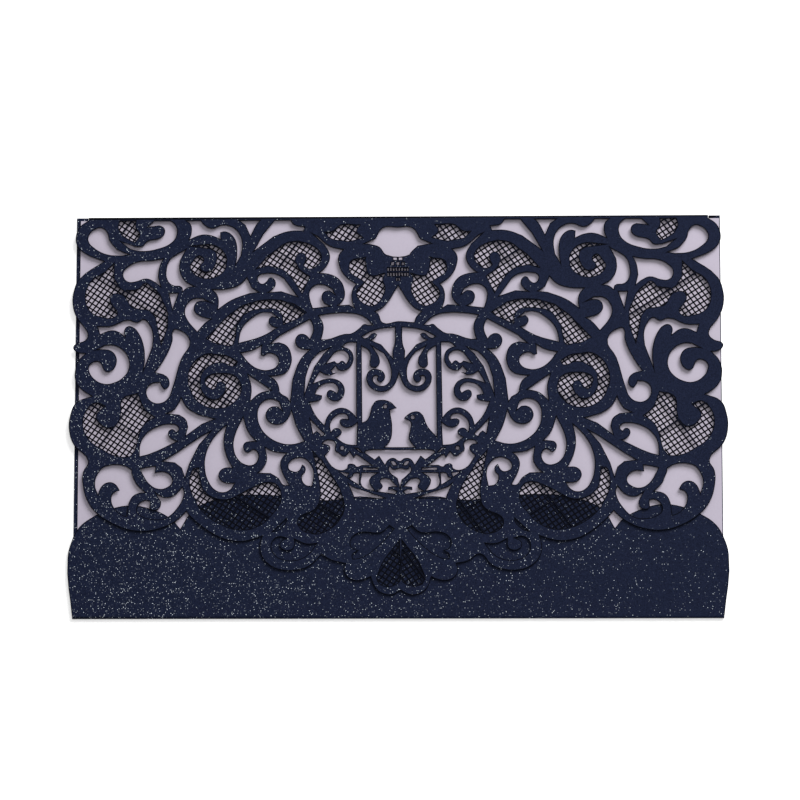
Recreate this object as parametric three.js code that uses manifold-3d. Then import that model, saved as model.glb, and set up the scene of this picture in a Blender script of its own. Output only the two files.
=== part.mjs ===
// Wedding invitation, millimetres, +Z up: a glitter card folder lying on its back, its lace flap on top.
// Two pieces: the folded card sheet with its pocket and cut flap, and the pale sheet held in the pocket.
// X is the long side, Y runs up the page and the flap hangs from the fold at the top.
import * as THREE from 'three';
import { mergeVertices } from 'three/addons/utils/BufferGeometryUtils.js';
import Module from 'manifold-3d';

const wasm = await Module();
wasm.setup();

// Driving dimensions of the folded card
const panel_width = 200;
const panel_height = 125;
const card_thickness = 0.35;
const insert_thickness = 0.3;
const sheet_clearance = 0.3;

// Pocket: its rounded peak near each side, and how far its sides flare out past the back panel
const pocket_peak = 38.2;
const pocket_flare = 1.5;

// Insert sheet: how far its edges stay inside the back panel, and how far it has slid to one side
const insert_side_margin = 0.8;
const insert_slide = 0.5;
const insert_top_margin = 1;

// Flap: its fold is shorter than the panel, its low end has crept to one side and its left side has spread
const flap_fold_margin = 3.8;
const flap_creep = 1.3;
const flap_spread = 1.5;

// Window strands on the right half: the lean of each family across the page, in degrees, and its spacing
const strand_width = 0.5;
const rising_lean = 36.4;
const rising_spacing = 11.44;
const falling_lean = -57.7;
const falling_spacing = 11.88;

// Finish of the curves
const curve_tolerance = 0.22;
const curve_divisions = 5;
const fold_steps = 10;
const fold_overlap = 0.05;
const circle_sides = 8;
const weld_distance = 1e-4;

// The lace is drawn on a panel of this size and scaled to the real one
const drawn_width = 200;
const drawn_height = 125;
const drawn_fold_y = 124.1;
const drawn_pocket_peak = 38.2;
const drawn_pocket_flare = 1.5;

// Heights of the stacked sheets
const pocket_gap = insert_thickness + 2 * sheet_clearance;
const flap_gap = pocket_gap + card_thickness + sheet_clearance;
const pocket_fold_radius = pocket_gap / 2;
const flap_fold_radius = flap_gap / 2;
const pocket_fold_y = pocket_fold_radius + card_thickness;
const flap_fold_y = panel_height - flap_fold_radius - card_thickness;
const flap_fold_half = panel_width / 2 - flap_fold_margin;
const pocket_z = card_thickness + pocket_gap;
const flap_z = card_thickness + flap_gap;

// Flap outline, right half, from the fold to the middle of the hem. A third value of 1 marks a corner.
const flap_edge = [
  [0, 124.1, 1], [96.2, 124.1, 1], [97.5, 123.4], [98.6, 122.4], [99.3, 121.2], [99.9, 119.5],
  [100.0, 118.0], [99.6, 116.6], [98.9, 115.3], [96.9, 113.7], [95.0, 112.8], [92.8, 112.0],
  [91.1, 111.3, 1], [92.8, 110.1], [95.2, 108.4], [97.4, 106.8], [98.9, 105.4], [99.6, 104.0],
  [100.2, 102.2], [100.5, 100.0], [100.5, 97.5], [99.9, 95.4], [98.9, 93.0], [97.6, 91.4], [96.3, 89.8],
  [95.7, 88.2], [96.1, 86.9], [97.2, 86.0], [98.7, 85.5], [99.7, 85.1], [100.1, 84.3], [99.7, 83.4],
  [98.8, 82.7], [97.4, 82.3], [96.4, 82.3, 1], [97.3, 81.3], [98.4, 80.2], [98.9, 79.3], [99.3, 77.5],
  [99.5, 75.5], [99.3, 74.0], [98.7, 72.6], [97.5, 71.2], [96.0, 70.0], [94.2, 69.0, 1], [95.5, 68.6],
  [97.2, 67.9], [98.8, 67.1], [99.7, 65.8], [100.3, 64.3], [100.8, 62.5], [101.0, 60.5], [101.0, 58.5],
  [100.6, 56.5], [100.0, 54.8], [99.1, 53.2], [97.6, 51.3], [96.3, 49.8], [95.1, 48.7, 1], [96.0, 47.2],
  [96.6, 45.3], [96.8, 43.0], [96.5, 40.5], [95.8, 38.0], [94.9, 35.7], [93.5, 33.7], [91.8, 32.0, 1],
  [90.2, 30.8], [88.5, 29.8], [86.5, 28.7], [84.0, 27.8], [81.5, 27.1], [79.0, 27.0], [76.0, 27.2],
  [73.2, 27.9], [70.7, 29.0], [68.5, 30.2], [66.9, 31.5], [65.5, 33.1, 1], [64.3, 31.5], [62.5, 29.9],
  [60.0, 27.9], [58.0, 26.4], [55.0, 24.8], [52.0, 24.0], [49.0, 23.8], [46.0, 24.2], [42.6, 25.4, 1],
  [43.2, 23.5], [43.2, 21.2], [42.8, 19.3], [41.7, 17.7], [40.0, 16.2], [37.5, 15.1], [34.5, 14.8],
  [31.5, 15.0], [29.0, 15.7], [27.0, 17.0], [25.5, 18.5], [24.3, 19.8, 1], [23.0, 18.8], [21.5, 18.0],
  [19.5, 17.3], [17.0, 16.9, 1], [17.5, 15.4], [17.3, 14.0], [16.4, 12.7], [15.0, 11.9], [13.0, 11.6],
  [11.0, 12.0], [9.3, 12.8, 1], [8.8, 11.0], [7.8, 9.2], [6.0, 7.8], [3.6, 7.2], [1.6, 7.6], [0, 8.6, 1],
];

// Pocket edge, right half, from the fold up to the peak and across to the middle
const pocket_edge = [
  [100.0, 0, 1], [100.5, 5.0], [101.0, 11.0], [101.4, 16.0], [101.5, 19.5], [101.0, 22.0], [100.2, 24.3],
  [99.3, 26.4], [98.0, 28.3], [96.4, 29.8], [94.6, 31.0], [92.4, 32.2], [88.0, 34.0], [84.0, 34.8],
  [81.0, 34.9], [78.0, 34.4], [74.8, 33.4], [71.6, 31.8], [69.6, 30.7], [68.0, 29.1], [66.8, 27.6, 1],
  [65.7, 29.6], [64.5, 31.5], [62.8, 33.6], [60.5, 35.0], [56.5, 36.6], [50.5, 37.8], [43.5, 38.2],
  [35.5, 37.9], [27.5, 37.0], [20.5, 36.4], [15.0, 37.2], [10.5, 37.6], [5.5, 36.9], [0, 36.2, 1],
];

// Openings that cross the middle: the right half of each, from top to bottom
const crossing_openings = {
  top_window: [
    [0, 121.6, 1], [4.5, 121.5, 1], [5.2, 120.2], [6.1, 118.9], [7.2, 117.8], [8.7, 117.1],
    [10.4, 116.5, 1], [8.7, 116.4], [6.5, 115.9], [5.0, 114.9], [4.1, 113.8], [3.6, 113.0, 1],
    [0, 113.0, 1],
  ],
  tail_tent: [
    [0, 103.3, 1], [1.4, 101.3], [3.1, 98.6], [4.8, 96.4], [7.2, 95.2, 1], [5.7, 93.8], [4.9, 91.7, 1],
    [0, 92.1, 1],
  ],
  below_perch: [
    [0, 51.9, 1], [10.3, 51.8, 1], [10.8, 51.2, 1], [9.6, 50.3], [8.6, 49.6], [7.8, 49.0, 1], [7.2, 49.6],
    [6.4, 50.2, 1], [5.9, 49.6], [5.5, 48.6], [5.0, 47.7], [4.6, 47.4, 1], [4.2, 48.2], [3.4, 49.1],
    [2.2, 49.5], [1.0, 49.2], [0, 48.5, 1],
  ],
  heart_cleft: [
    [0, 46.3, 1], [1.0, 46.0], [2.0, 45.9], [2.8, 46.3], [3.1, 46.9, 1], [3.5, 46.2], [3.2, 45.2],
    [2.3, 44.3], [1.2, 43.6], [0.5, 42.8], [0.2, 41.5], [0, 40.2, 1],
  ],
};

// The bird window: its scrolls are the same on both sides, its two birds are not
const bird_window_scrolls = [
  [0, 75.9, 1], [0.8, 73.6], [1.8, 71.8], [3.4, 70.6], [5.3, 70.1], [7.2, 70.4], [8.9, 71.5], [9.9, 73.2],
  [10.0, 75.2], [9.3, 76.5], [8.2, 77.1], [6.8, 77.1], [5.6, 76.8], [4.8, 76.2], [4.4, 75.2], [4.5, 74.0],
  [5.1, 73.2], [5.9, 73.0], [6.6, 73.6], [6.9, 74.3], [6.5, 74.9, 1], [7.2, 75.2], [7.9, 74.8],
  [8.1, 74.0], [7.7, 73.0], [6.8, 72.2], [5.5, 71.9], [4.1, 72.2], [3.1, 73.1], [2.5, 74.6], [2.5, 76.6],
  [2.9, 78.8], [3.6, 80.5], [4.6, 82.0], [5.8, 83.0], [7.2, 83.7], [8.3, 84.3, 1], [7.5, 83.3],
  [6.7, 82.1], [6.1, 80.8], [5.9, 79.4], [6.3, 78.3], [7.2, 77.7], [8.2, 77.7], [8.9, 78.3], [9.0, 79.3],
  [8.8, 80.5], [8.8, 82.0], [9.3, 83.0], [10.2, 83.8], [11.5, 84.4, 1],
];
const small_bird = [
  [11.5, 56.0, 1], [10.8, 56.6], [9.8, 57.6], [8.8, 59.0], [8.0, 60.3], [7.5, 61.5], [7.0, 62.9],
  [6.2, 63.7], [5.0, 63.9], [3.6, 63.6], [2.5, 62.9], [1.4, 61.8, 1], [2.5, 61.3], [3.4, 60.6],
  [3.6, 59.7], [3.4, 58.7], [3.0, 57.4], [2.8, 56.0], [3.1, 54.8], [3.9, 53.7], [4.8, 52.8, 1],
  [0, 52.8, 1],
];
const large_bird = [
  [11.5, 60.5, 1], [9.8, 61.5], [9.0, 63.4], [8.4, 65.5], [7.6, 66.9], [6.3, 67.5], [4.3, 67.4],
  [2.3, 66.6], [0.8, 65.0, 1], [2.8, 64.6], [3.0, 63.5], [2.6, 61.0], [2.3, 58.5], [2.6, 56.0],
  [3.4, 54.0], [4.7, 52.8, 1], [0, 52.8, 1],
];
const small_bird_eye = [4.1, 62.1, 0.6];
const large_bird_eye = [-4.4, 65.5, 0.6];

// Plain openings of the right half, mirrored for the left
const openings = {
  wing_gap: [
    [26.3, 119.6, 1], [24.8, 118.5], [23.2, 116.9], [21.9, 115.0], [21.1, 113.0], [21.3, 111.2],
    [22.1, 109.5], [23.3, 108.2], [24.5, 107.4, 1], [22.5, 107.3], [20.2, 106.6], [18.4, 105.5],
    [17.2, 103.8], [16.6, 101.8], [16.6, 100.0], [17.2, 98.4], [18.7, 97.1, 1], [17.0, 97.4], [15.2, 97.3],
    [13.6, 96.3, 1], [14.3, 98.0], [14.4, 100.6], [14.1, 102.2], [13.0, 103.8, 1], [15.2, 105.2],
    [17.0, 107.1], [18.2, 109.8], [18.5, 111.8], [18.1, 113.4], [16.9, 114.7, 1], [18.7, 115.1],
    [20.6, 115.5], [22.6, 117.1], [24.3, 118.6],
  ],
  leaf_top: [
    [28.8, 121.9, 1], [30.6, 122.1], [32.2, 122.6], [33.0, 123.4], [33.2, 124.0, 1], [38.1, 124.0, 1],
    [39.7, 122.4], [41.3, 120.2], [43.0, 117.6], [44.6, 114.4, 1], [42.6, 116.0], [40.2, 117.9],
    [37.4, 119.5], [34.5, 120.4], [31.8, 120.8], [29.3, 120.6, 1],
  ],
  fold_vee: [
    [42.7, 124.0, 1], [49.2, 124.0, 1], [47.9, 123.3], [46.7, 121.7], [45.7, 119.1, 1], [44.9, 121.0],
    [43.9, 122.7],
  ],
  wave_crest: [
    [61.2, 124.0, 1], [65.6, 124.0, 1], [64.5, 123.2], [64.0, 121.5], [64.1, 119.7], [64.7, 118.1, 1],
    [62.6, 119.1], [60.3, 119.6], [57.8, 119.3], [55.0, 118.1, 1], [55.3, 119.6], [55.0, 120.4],
    [53.8, 120.6], [52.2, 120.0], [50.8, 118.6], [50.0, 116.4], [49.8, 113.6], [50.3, 110.3, 1],
    [49.0, 112.3], [48.3, 115.2], [48.6, 118.4], [50.0, 120.9], [52.0, 122.2], [54.2, 122.6],
    [55.8, 121.9], [57.6, 121.5], [59.4, 122.1], [60.7, 123.2],
  ],
  corner_crescent: [
    [70.8, 124.0, 1], [75.6, 124.0, 1], [76.5, 123.3], [77.6, 122.1, 1], [76.0, 122.5], [74.4, 122.6],
    [72.9, 122.1], [72.3, 120.7], [72.8, 119.2], [74.3, 118.4], [76.6, 118.0], [77.9, 117.4],
    [78.8, 116.2], [80.6, 115.8], [83.0, 116.3], [85.8, 117.4, 1], [84.2, 115.8], [81.8, 114.7],
    [79.0, 114.5], [75.6, 114.9], [72.4, 115.9], [69.9, 117.4], [68.7, 119.4], [68.7, 121.7],
    [69.5, 123.2],
  ],
  corner_drop: [
    [83.5, 113.4, 1], [86.5, 114.5], [88.5, 116.3], [89.7, 118.2], [90.1, 119.9, 1], [90.8, 120.7],
    [91.4, 121.6], [92.6, 121.9], [94.4, 121.3], [95.9, 119.6], [96.1, 117.8], [94.8, 116.0],
    [92.3, 114.3], [89.6, 113.3], [86.6, 113.0],
  ],
  ring_crescent: [
    [65.8, 114.9, 1], [67.2, 112.6], [67.8, 110.4], [67.7, 108.3], [66.9, 106.2], [65.4, 104.4],
    [63.2, 103.3, 1], [65.0, 103.1], [66.7, 101.8, 1], [67.0, 103.1, 1], [68.8, 103.3], [70.6, 104.2],
    [71.6, 106.0], [71.7, 108.6], [70.9, 111.2], [69.6, 112.8], [67.6, 113.6],
  ],
  bean: [
    [72.8, 112.0, 1], [75.5, 111.4], [79.0, 111.4], [82.3, 110.4], [84.6, 108.6], [85.1, 106.6],
    [83.9, 105.0], [82.0, 104.7], [80.1, 105.4], [77.8, 105.8], [75.6, 105.0], [73.5, 103.3, 1],
    [74.2, 105.2], [74.3, 108.0], [73.6, 110.5],
  ],
  small_wedge: [[68.1, 101.2, 1], [70.9, 101.2, 1], [70.4, 99.0], [69.8, 96.2, 1], [69.2, 98.6]],
  leaf_comma: [
    [31.2, 99.9, 1], [32.8, 101.9], [34.2, 104.3], [36.2, 106.3], [38.8, 107.2], [41.5, 107.2],
    [43.3, 106.5], [43.4, 105.0], [42.3, 104.0], [41.1, 104.4], [40.2, 105.7], [39.2, 106.0],
    [38.2, 105.1], [38.0, 103.7], [38.8, 102.3], [40.3, 101.3, 1], [37.3, 101.7], [34.4, 101.2],
  ],
  leaf_wedge: [
    [46.9, 106.0, 1], [48.3, 104.3], [50.8, 103.0], [54.0, 102.3], [57.6, 102.3, 1], [56.2, 100.9],
    [55.6, 98.6], [55.9, 96.1, 1], [53.6, 97.9], [50.4, 99.6], [47.0, 100.9], [43.2, 101.4, 1],
    [45.0, 102.3], [46.2, 103.9],
  ],
  wing_curl: [
    [19.6, 100.6, 1], [20.0, 101.8], [21.4, 103.0], [23.6, 103.7], [25.8, 103.4], [27.2, 102.0],
    [27.6, 100.2], [27.2, 98.5], [26.5, 96.3, 1], [24.4, 96.6], [21.2, 96.9, 1], [22.9, 97.7],
    [23.7, 99.2], [23.5, 100.8], [22.5, 101.7], [21.2, 101.8],
  ],
  ring_cap: [
    [7.9, 91.0, 1], [9.4, 92.6], [11.6, 94.0], [14.8, 94.7], [19.0, 94.8], [24.7, 94.0, 1], [23.5, 91.9],
    [23.2, 89.6], [24.0, 86.5, 1], [22.9, 86.3], [20.2, 87.3], [17.4, 88.1], [15.0, 88.2], [12.4, 89.6],
    [11.6, 90.7], [10.2, 91.3], [8.9, 90.8],
  ],
  gate: [
    [78.5, 77.4, 1], [77.3, 80.3], [76.1, 83.8], [75.7, 87.0], [76.3, 90.2], [78.4, 92.9], [80.6, 92.0],
    [83.2, 92.8], [86.4, 91.5], [89.6, 90.7], [92.7, 90.8, 1], [91.9, 88.4, 1], [89.6, 89.4], [87.0, 89.4],
    [84.3, 87.6, 1], [84.6, 89.3], [83.9, 90.6], [82.5, 90.8], [80.9, 89.7], [79.5, 87.5], [78.6, 84.8],
    [78.1, 81.3],
  ],
  big_curl: [
    [93.0, 83.5, 1], [91.9, 84.3], [89.9, 85.0], [87.8, 84.9], [86.0, 84.1], [84.3, 82.7], [83.3, 80.9],
    [82.9, 78.9], [83.3, 76.9], [84.5, 75.1], [86.2, 73.8], [88.2, 73.0], [90.2, 72.8], [92.2, 73.4],
    [93.8, 74.6], [94.9, 76.2], [95.3, 77.8], [94.8, 78.9], [93.7, 79.7], [92.4, 79.8], [91.5, 79.1],
    [91.0, 77.8], [90.3, 76.8], [89.3, 76.6], [88.0, 77.2], [87.1, 78.4], [86.8, 80.0], [87.1, 81.6],
    [88.0, 82.8], [89.4, 83.5], [91.2, 83.7],
  ],
  long_wave: [
    [68.5, 89.8, 1], [69.4, 89.6, 1], [69.5, 87.3], [70.2, 85.0], [71.2, 82.5], [72.4, 80.2], [73.8, 78.2],
    [75.0, 76.4, 1], [73.6, 76.1], [72.3, 75.6], [71.2, 74.8], [70.7, 73.6], [70.7, 72.4], [71.3, 71.4],
    [72.2, 71.1], [72.9, 71.6], [73.3, 72.6], [73.5, 73.3, 1], [75.1, 73.2], [76.6, 72.5], [77.5, 71.2],
    [77.6, 69.6], [77.0, 68.2], [75.8, 67.1], [74.3, 66.7], [72.7, 67.0], [71.2, 68.1], [70.3, 69.6],
    [69.7, 71.8], [69.1, 74.5], [68.4, 76.9], [67.6, 79.3], [66.7, 81.6], [65.5, 84.0], [64.5, 86.2, 1],
    [66.0, 87.3], [67.3, 88.6],
  ],
  hook: [
    [58.4, 98.3, 1], [59.8, 99.3], [61.9, 99.6], [63.9, 99.1], [65.5, 97.3], [66.0, 94.9], [65.1, 92.6],
    [62.2, 89.1, 1], [60.4, 91.4], [58.0, 93.0, 1], [60.6, 93.6], [62.6, 94.8], [63.3, 96.4], [62.7, 98.0],
    [61.3, 98.8], [59.6, 98.7],
  ],
  leaf_eye: [
    [37.7, 90.2, 1], [39.5, 90.9], [40.2, 92.3], [39.7, 93.6], [38.6, 93.9], [37.3, 93.3, 1], [38.8, 94.7],
    [41.2, 95.1], [43.8, 94.4], [46.4, 92.5], [48.3, 90.3], [49.2, 88.1], [49.5, 85.5, 1], [46.4, 86.2],
    [43.0, 87.3], [40.3, 88.7],
  ],
  ring_side: [
    [27.5, 92.8, 1], [29.9, 91.5], [33.2, 89.9], [35.4, 88.7], [37.5, 87.2], [39.7, 85.2, 1], [38.0, 85.7],
    [36.1, 85.4], [34.6, 84.5], [33.7, 83.0], [33.2, 81.3], [33.2, 79.6], [33.7, 77.9], [34.7, 76.4],
    [36.3, 75.5], [38.2, 75.2], [40.0, 75.1, 1], [38.8, 74.4], [37.7, 73.1], [37.1, 71.6], [37.0, 70.2, 1],
    [35.8, 69.6], [34.7, 68.6], [33.7, 67.1, 1], [33.5, 69.4], [33.3, 72.2], [32.6, 75.3], [31.5, 78.2],
    [30.2, 80.7], [28.9, 82.2], [27.5, 83.3, 1], [29.0, 83.5], [30.5, 83.7], [31.5, 84.5], [32.0, 85.8],
    [31.7, 87.2], [30.8, 88.1], [29.5, 88.2], [28.3, 87.6], [27.5, 86.6, 1], [26.8, 88.0], [26.4, 89.8],
    [26.7, 91.5],
  ],
  pear: [
    [42.4, 84.8, 1], [44.2, 83.6], [46.4, 82.9], [48.9, 82.4, 1], [47.3, 80.2], [45.0, 78.1], [42.6, 77.1],
    [39.9, 77.1], [37.7, 78.3], [37.2, 80.2], [38.4, 81.8], [40.8, 82.2], [41.6, 81.5, 1], [42.7, 81.7, 1],
    [42.8, 83.2],
  ],
  wave_left: [
    [57.0, 61.8, 1], [58.8, 61.3], [60.6, 60.4], [62.4, 59.2], [64.1, 57.8], [65.7, 56.6, 1], [65.1, 58.1],
    [65.0, 59.7], [65.4, 61.2], [66.4, 62.4], [67.9, 63.2], [69.6, 63.5], [71.5, 63.5, 1], [69.7, 64.2],
    [68.4, 65.5], [67.6, 66.9], [67.1, 68.4, 1], [66.3, 66.6], [65.2, 65.2], [63.5, 63.9], [61.4, 62.9],
    [59.2, 62.2],
  ],
  wave_right: [
    [68.6, 57.7, 1], [69.1, 58.4], [69.9, 58.6], [70.7, 58.2], [71.0, 57.2], [70.6, 56.2], [69.7, 55.4],
    [68.3, 54.9, 1], [70.3, 54.1], [72.4, 52.9], [74.4, 51.8], [76.6, 51.0], [79.6, 50.2, 1], [79.7, 52.0],
    [79.4, 53.9], [78.7, 55.7], [77.5, 57.3], [75.8, 58.7], [73.8, 59.5], [71.7, 60.0], [70.0, 60.2],
    [68.8, 60.0], [67.9, 59.2], [67.9, 58.3],
  ],
  small_leaf: [
    [39.5, 70.7, 1], [41.5, 70.4], [43.6, 69.5], [46.0, 67.4, 1], [45.7, 69.2], [45.6, 71.0], [45.9, 73.2],
    [46.7, 75.6, 1], [44.7, 74.4], [42.7, 73.0], [41.0, 71.8],
  ],
  heart_comma: [
    [36.2, 64.4, 1], [37.0, 65.3], [38.4, 65.7], [39.9, 65.3], [41.0, 64.1], [41.3, 62.6], [40.7, 61.2],
    [39.5, 60.3], [38.0, 60.0], [36.4, 60.2], [35.0, 61.1], [34.0, 62.5], [33.3, 64.3, 1], [32.9, 62.3],
    [32.2, 60.2], [31.2, 58.2], [29.4, 54.8, 1], [31.5, 54.1], [34.3, 53.8], [36.6, 54.2], [38.8, 55.1],
    [40.8, 56.5], [42.4, 58.3], [43.4, 60.4], [43.8, 62.6], [43.6, 64.7], [42.8, 66.4], [41.5, 67.5],
    [39.8, 67.9], [38.0, 67.6], [36.8, 66.6],
  ],
  short_hook: [
    [48.3, 62.3, 1], [49.3, 60.4], [50.2, 58.4], [50.9, 56.3], [51.3, 54.0], [51.0, 51.6], [50.1, 49.5],
    [48.7, 48.1], [47.0, 47.4], [45.3, 47.5], [44.1, 48.4], [43.7, 49.8], [43.8, 51.1], [44.5, 52.0],
    [45.4, 52.2], [46.1, 51.6], [47.0, 51.3], [47.9, 51.9], [48.3, 53.0], [48.0, 54.1], [47.0, 54.7],
    [45.8, 54.8], [44.3, 54.8, 1], [45.6, 56.0], [46.7, 57.6], [47.5, 59.4], [48.0, 61.0],
  ],
  long_comma: [
    [53.4, 59.8, 1], [53.9, 58.0], [54.2, 56.0], [54.2, 53.8], [53.8, 51.5], [53.0, 49.2], [51.6, 46.6, 1],
    [53.1, 46.7], [54.6, 46.3], [55.6, 45.2], [55.8, 43.9], [55.2, 42.7], [54.1, 42.0], [52.6, 41.9],
    [51.0, 41.8, 1], [51.6, 40.6], [52.7, 39.6], [54.2, 39.0], [55.8, 39.2], [57.4, 40.2], [58.6, 41.9],
    [59.5, 44.1], [59.9, 46.5], [59.9, 49.0], [59.4, 51.4], [58.5, 53.7], [57.2, 55.9], [55.6, 57.9],
  ],
  thin_leaf: [
    [58.2, 57.9, 1], [60.2, 55.9], [61.9, 53.5], [63.3, 51.0], [64.4, 48.5], [65.2, 46.0], [65.9, 43.6, 1],
    [66.2, 45.2], [67.0, 46.8], [68.4, 48.0], [70.2, 48.6], [72.7, 48.7, 1], [71.0, 49.5], [69.2, 50.7],
    [67.4, 52.2], [65.3, 53.7], [63.0, 55.2], [60.5, 56.7],
  ],
  teardrop: [
    [75.0, 45.1, 1], [73.6, 45.4], [72.0, 45.3], [70.6, 44.5], [69.7, 43.1], [69.9, 41.8], [70.9, 40.8],
    [72.4, 40.2], [73.9, 40.1], [75.4, 40.7], [76.8, 41.8], [78.0, 43.4], [79.4, 46.3, 1], [78.0, 46.8],
    [76.4, 47.0], [74.8, 47.1, 1],
  ],
  side_wing: [
    [77.9, 39.0, 1], [79.6, 40.4], [81.0, 42.3], [81.8, 44.2], [82.2, 46.1, 1], [84.2, 46.4], [86.5, 46.9],
    [89.8, 47.2, 1], [91.3, 45.9], [92.4, 44.4], [92.9, 42.8], [93.0, 41.2], [92.6, 39.6], [92.1, 38.4, 1],
    [91.8, 39.6], [91.1, 40.8], [90.0, 41.8], [88.6, 42.2], [87.2, 41.8], [86.2, 40.9], [85.6, 39.6, 1],
    [86.8, 39.3], [87.8, 38.4], [88.1, 37.0], [87.7, 35.3], [86.8, 33.6], [85.4, 32.3], [83.4, 31.6, 1],
    [83.2, 33.2], [82.9, 35.0], [82.4, 36.7], [81.3, 38.1], [79.8, 38.8],
  ],
  hem_curl: [
    [66.8, 40.6, 1], [67.7, 39.2], [69.1, 38.1], [70.8, 37.5], [72.4, 37.4], [73.8, 38.1], [74.7, 38.8, 1],
    [73.8, 37.6], [73.2, 36.4], [73.1, 35.1], [73.8, 33.9], [75.1, 33.4], [76.3, 33.8], [76.6, 34.9],
    [76.3, 36.0], [77.1, 36.6], [78.3, 36.4], [79.4, 35.7], [80.2, 34.6], [80.3, 33.1], [79.3, 31.9],
    [77.4, 31.0], [74.9, 30.6], [72.4, 30.8], [70.6, 31.8], [69.1, 33.1], [68.0, 34.6], [67.1, 36.2],
    [66.4, 37.8], [66.2, 39.3],
  ],
  low_hook: [
    [27.2, 40.8, 1], [26.8, 42.4], [26.6, 44.2], [26.8, 45.9], [27.5, 47.5], [28.6, 48.8], [30.1, 49.6],
    [31.7, 49.6], [33.2, 49.0], [34.2, 47.9], [34.4, 46.7], [33.9, 45.8], [32.8, 45.4], [31.7, 45.3],
    [31.1, 45.9], [30.7, 46.9], [30.1, 47.5], [29.4, 47.1], [29.1, 46.2], [29.3, 45.1], [30.2, 44.1, 1],
    [29.7, 42.9], [29.4, 41.4, 1],
  ],
  low_wedge: [
    [34.3, 41.2, 1], [35.1, 42.9], [36.0, 44.6], [36.7, 46.3], [36.9, 48.0], [36.3, 49.6], [34.9, 51.1, 1],
    [36.8, 51.3], [38.8, 51.5], [41.5, 52.9, 1], [41.2, 51.3], [41.0, 49.6], [41.2, 48.0], [42.2, 46.3],
    [43.8, 45.0, 1], [42.1, 45.1], [40.4, 45.0], [38.8, 44.4], [37.4, 43.2], [35.9, 41.2, 1],
  ],
  hem_comma: [
    [25.8, 23.1, 1], [28.0, 22.8], [30.4, 23.3], [32.7, 24.5, 1], [32.6, 22.6], [33.4, 21.3], [35.0, 20.9],
    [36.8, 21.6], [37.2, 23.1], [36.3, 24.2], [35.0, 24.7, 1], [37.2, 25.2], [39.0, 24.3], [39.8, 22.6],
    [39.4, 20.6], [38.0, 18.9], [35.5, 18.0], [32.5, 17.9], [29.8, 18.8], [27.6, 20.6],
  ],
  hem_slit: [
    [35.1, 30.8, 1], [36.0, 30.0], [37.6, 28.4], [39.3, 26.8, 1], [38.1, 26.9], [36.5, 28.2], [35.2, 29.7],
  ],
  hem_wave: [
    [2.0, 27.6, 1], [4.5, 24.6], [7.3, 22.0], [10.0, 20.0], [12.4, 18.6], [14.5, 18.2], [15.0, 19.2],
    [14.2, 20.3], [12.9, 20.9, 1], [14.7, 21.5], [15.5, 22.9], [15.1, 24.7], [13.6, 26.0], [11.3, 26.6],
    [8.6, 26.2], [5.6, 26.6], [3.6, 28.6],
  ],
  ring_window: [
    [1.1, 90.3, 1], [3.0, 90.2], [5.0, 89.9], [7.0, 89.5], [9.0, 88.8], [10.4, 88.1], [11.4, 87.3, 1],
    [11.0, 86.9], [10.3, 86.8], [9.6, 87.2], [8.9, 87.9], [8.2, 88.3], [7.3, 88.5], [6.7, 88.1],
    [6.7, 87.5], [7.3, 86.9], [8.7, 86.2, 1], [7.5, 85.9], [6.0, 85.2], [4.6, 84.1], [3.3, 82.5],
    [2.3, 81.1], [1.8, 80.5, 1], [2.1, 81.9], [1.9, 83.0], [1.4, 83.9], [1.2, 85.5], [1.1, 88.0],
  ],
  side_scrolls: [
    [13.1, 85.6, 1], [14.5, 85.7], [16.0, 85.4], [17.0, 84.8], [17.4, 84.2, 1], [16.0, 83.8], [14.7, 82.8],
    [14.1, 81.4], [14.1, 79.8], [14.6, 78.5], [15.5, 77.4], [16.8, 76.9], [18.2, 76.8], [19.0, 77.2],
    [19.6, 78.1, 1], [20.3, 77.6], [20.9, 76.8], [20.8, 76.1], [20.2, 75.9], [19.3, 76.1, 1], [20.2, 75.4],
    [21.5, 75.2], [22.6, 75.4], [23.5, 76.2], [24.3, 76.5], [24.9, 76.1], [25.4, 75.0], [26.5, 72.8, 1],
    [25.4, 73.2], [24.0, 73.8], [22.2, 74.2], [20.4, 74.2], [18.8, 73.7], [17.6, 72.7], [16.9, 71.3],
    [16.9, 69.8], [17.4, 68.5], [18.5, 67.5], [20.0, 67.2], [21.4, 67.7], [22.3, 68.8], [22.3, 69.8],
    [21.8, 70.5], [21.0, 70.7], [20.2, 70.1], [19.6, 69.7], [19.0, 69.9], [18.8, 70.8], [19.1, 71.8],
    [19.9, 72.6], [21.2, 72.9], [22.8, 72.7], [24.3, 72.0], [25.4, 70.9], [25.9, 69.4, 1], [25.2, 69.3],
    [24.5, 69.3], [23.9, 69.0], [23.8, 68.4], [24.2, 67.7], [25.0, 67.3], [26.3, 67.1], [27.8, 66.9, 1],
    [27.4, 65.6], [26.6, 64.0], [25.6, 62.4], [24.5, 61.0], [23.2, 59.7, 1], [22.9, 61.0], [22.2, 62.5],
    [21.0, 63.9], [19.4, 64.8], [17.6, 65.1], [15.9, 64.6], [14.6, 63.6], [13.3, 62.1, 1],
  ],
  scroll_eye: [
    [16.3, 78.8, 1], [15.6, 79.8], [15.4, 81.0], [15.9, 82.1], [16.9, 82.8], [18.3, 83.0], [19.5, 82.7],
    [20.4, 81.8], [21.3, 80.7], [22.2, 79.6], [22.5, 78.9, 1], [21.7, 79.3], [20.9, 79.6], [20.0, 79.7],
    [18.9, 79.0, 1], [18.3, 79.6], [17.6, 79.8], [16.9, 79.5],
  ],
  ring_sliver: [
    [21.2, 83.9, 1], [23.4, 83.2], [25.2, 82.0], [26.6, 80.4], [27.7, 78.4], [28.6, 75.9], [29.1, 73.2],
    [29.3, 69.4, 1], [28.7, 70.6], [28.2, 72.6], [27.4, 75.2], [26.4, 77.5], [25.2, 79.6], [23.6, 81.7],
  ],
  lower_scroll: [
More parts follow.
